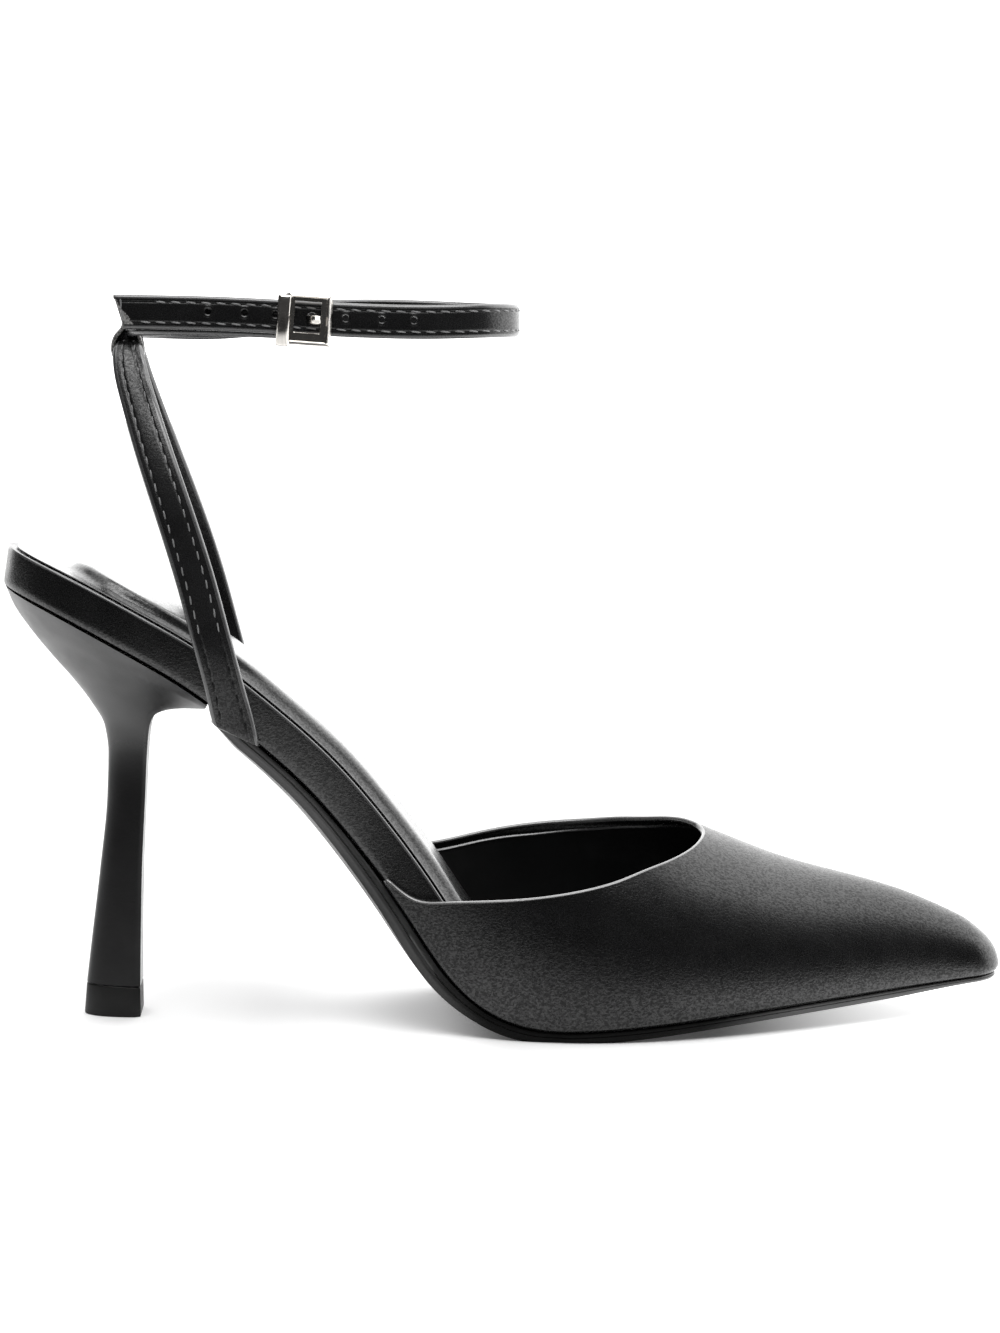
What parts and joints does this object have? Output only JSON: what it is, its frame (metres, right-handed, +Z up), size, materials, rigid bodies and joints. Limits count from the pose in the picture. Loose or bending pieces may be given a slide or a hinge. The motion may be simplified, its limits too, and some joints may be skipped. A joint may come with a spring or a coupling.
{
  "type": "ankle-strap slingback stiletto",
  "caption": "Pointed-toe stiletto shoe with a hollow vamp, open waist and heel, flared slim heel, sling strap and buckled ankle strap.",
  "frame": {"origin": "on the floor, under the middle of the shoe's length and width", "axes": "+X towards the toe, -Y towards the outer side of the foot, +Z up"},
  "size_m": [0.2474, 0.0762, 0.1755],
  "materials": {
    "upper_leather": "fine pebbled grain, satin",
    "rand_leather": "fine pebbled grain, satin",
    "sock_leather": "soft grain over padding",
    "strap_leather": "grained, stitched edges",
    "heel_cover": "smooth satin",
    "outsole": "matte",
    "heel_tip": "matte",
    "buckle_metal": "polished nickel"
  },
  "bodies": {
    "root": {"outsole": "outsole", "insole_rand": "rand_leather", "insole_pad": "sock_leather", "vamp": "upper_leather", "heel": "heel_cover", "heel_tip": "heel_tip", "sling_strap": "strap_leather", "sling_loop": "strap_leather", "ankle_strap": "strap_leather", "buckle_frame": "buckle_metal", "buckle_pin": "buckle_metal"}
  },
  "joints": []
}
